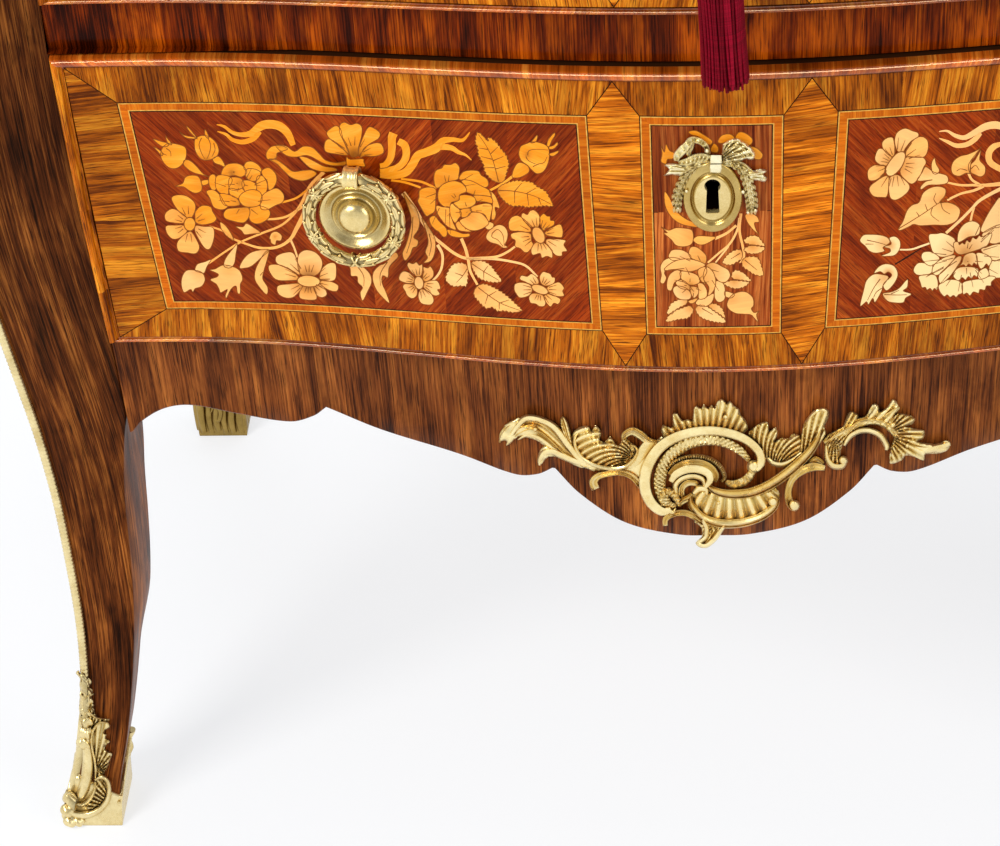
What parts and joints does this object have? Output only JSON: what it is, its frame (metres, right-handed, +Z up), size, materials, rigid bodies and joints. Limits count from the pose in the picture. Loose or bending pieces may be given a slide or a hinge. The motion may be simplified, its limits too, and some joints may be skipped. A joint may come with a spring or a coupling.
{
  "type": "commode",
  "caption": "Small serpentine commode on cabriole legs with stacked drawers, floral marquetry fronts, ring pulls, gilt mounts, a tasselled key and a stone top.",
  "frame": {"origin": "on the floor under the middle of the bounding box, which runs from the key's bow to the back edge of the top", "axes": "+X to the right of someone facing the front, +Y from the front to the back, +Z up"},
  "size_m": [0.84, 0.5175, 0.826],
  "materials": {
    "rosewood": "french polished rosewood veneer",
    "kingwood": "french polished veneer with floral marquetry",
    "oak": "waxed",
    "pine": "bare",
    "gilt_brass": "gilt, aged",
    "lock_iron": "browned",
    "marble": "polished",
    "silk": "silk strands"
  },
  "bodies": {
    "carcase": {"front_left_post": "rosewood", "front_right_post": "rosewood", "rear_left_post": "rosewood", "rear_right_post": "rosewood", "top_rail": "rosewood", "middle_rail": "rosewood", "front_apron": "rosewood", "left_side_panel": "rosewood", "right_side_panel": "rosewood", "lower_left_runner": "oak", "lower_right_runner": "oak", "upper_left_runner": "oak", "upper_right_runner": "oak", "back_panel": "pine", "bottom_board": "pine", "dust_board": "pine", "sub_top_board": "pine", "marble_top": "marble", "front_left_sabot": "gilt_brass", "front_right_sabot": "gilt_brass", "rear_left_sabot": "gilt_brass", "rear_right_sabot": "gilt_brass", "front_left_arris_strip": "gilt_brass", "front_left_corner_mount": "gilt_brass", "front_right_arris_strip": "gilt_brass", "front_right_corner_mount": "gilt_brass", "apron_mount": "gilt_brass"},
    "drawer_lower": {"lower_drawer_front": "kingwood", "lower_drawer_bead": "kingwood", "lower_drawer_left_side": "oak", "lower_drawer_right_side": "oak", "lower_drawer_back": "oak", "lower_drawer_bottom": "oak", "lower_lock_case": "lock_iron", "lower_escutcheon": "gilt_brass", "lower_left_rosette": "gilt_brass", "lower_right_rosette": "gilt_brass"},
    "drawer_upper": {"upper_drawer_front": "kingwood", "upper_drawer_bead": "kingwood", "upper_drawer_left_side": "oak", "upper_drawer_right_side": "oak", "upper_drawer_back": "oak", "upper_drawer_bottom": "oak", "upper_lock_case": "lock_iron", "upper_escutcheon": "gilt_brass", "upper_left_rosette": "gilt_brass", "upper_right_rosette": "gilt_brass"},
    "lower_bolt": {"lower_lock_bolt": "gilt_brass"},
    "lower_left_ring_pull": {"lower_left_ring": "gilt_brass"},
    "lower_right_ring_pull": {"lower_right_ring": "gilt_brass"},
    "upper_bolt": {"upper_lock_bolt": "gilt_brass"},
    "upper_left_ring_pull": {"upper_left_ring": "gilt_brass"},
    "upper_right_ring_pull": {"upper_right_ring": "gilt_brass"},
    "key_body": {"key": "lock_iron"},
    "tassel_body": {"tassel_cord": "silk", "tassel": "silk"}
  },
  "joints": [
    {"name": "lower_drawer_slide", "type": "slide", "parent": "carcase", "child": "drawer_lower", "axis": [0, -1, 0], "range_m": [0, 0.3]},
    {"name": "upper_drawer_slide", "type": "slide", "parent": "carcase", "child": "drawer_upper", "axis": [0, -1, 0], "range_m": [0, 0.3]},
    {"name": "lower_left_ring_swing", "type": "hinge", "parent": "drawer_lower", "child": "lower_left_ring_pull", "pos_m": [-0.18725, -0.20299, 0.50662], "axis": [-0.9905, 0.1377, 0], "range_deg": [0, 85]},
    {"name": "lower_right_ring_swing", "type": "hinge", "parent": "drawer_lower", "child": "lower_right_ring_pull", "pos_m": [0.18725, -0.20299, 0.50662], "axis": [-0.9905, -0.1377, 0], "range_deg": [0, 85]},
    {"name": "upper_left_ring_swing", "type": "hinge", "parent": "drawer_upper", "child": "upper_left_ring_pull", "pos_m": [-0.18671, -0.2064, 0.71639], "axis": [-0.9944, 0.1054, 0], "range_deg": [0, 85]},
    {"name": "upper_right_ring_swing", "type": "hinge", "parent": "drawer_upper", "child": "upper_right_ring_pull", "pos_m": [0.18671, -0.2064, 0.71639], "axis": [-0.9944, -0.1054, 0], "range_deg": [0, 85]},
    {"name": "lower_bolt_lift", "type": "slide", "parent": "drawer_lower", "child": "lower_bolt", "axis": [0, 0, 1], "range_m": [0, 0.009]},
    {"name": "key_turn", "type": "hinge", "parent": "drawer_upper", "child": "key_body", "pos_m": [0, -0.21366, 0.7066], "axis": [0, 1, 0], "range_deg": [0, 90]},
    {"name": "upper_bolt_lift", "type": "slide", "parent": "drawer_upper", "child": "upper_bolt", "axis": [0, 0, 1], "range_m": [0, 0.009]},
    {"name": "tassel_hang", "type": "hinge", "parent": "key_body", "child": "tassel_body", "pos_m": [0, -0.24466, 0.6968], "axis": [0, 1, 0], "range_deg": [-90, 0]}
  ],
  "couplings": [
    {"joint": "upper_bolt_lift", "follows": "key_turn", "m_per_rad": 0.0057295},
    {"joint": "tassel_hang", "follows": "key_turn", "ratio": -1}
  ]
}
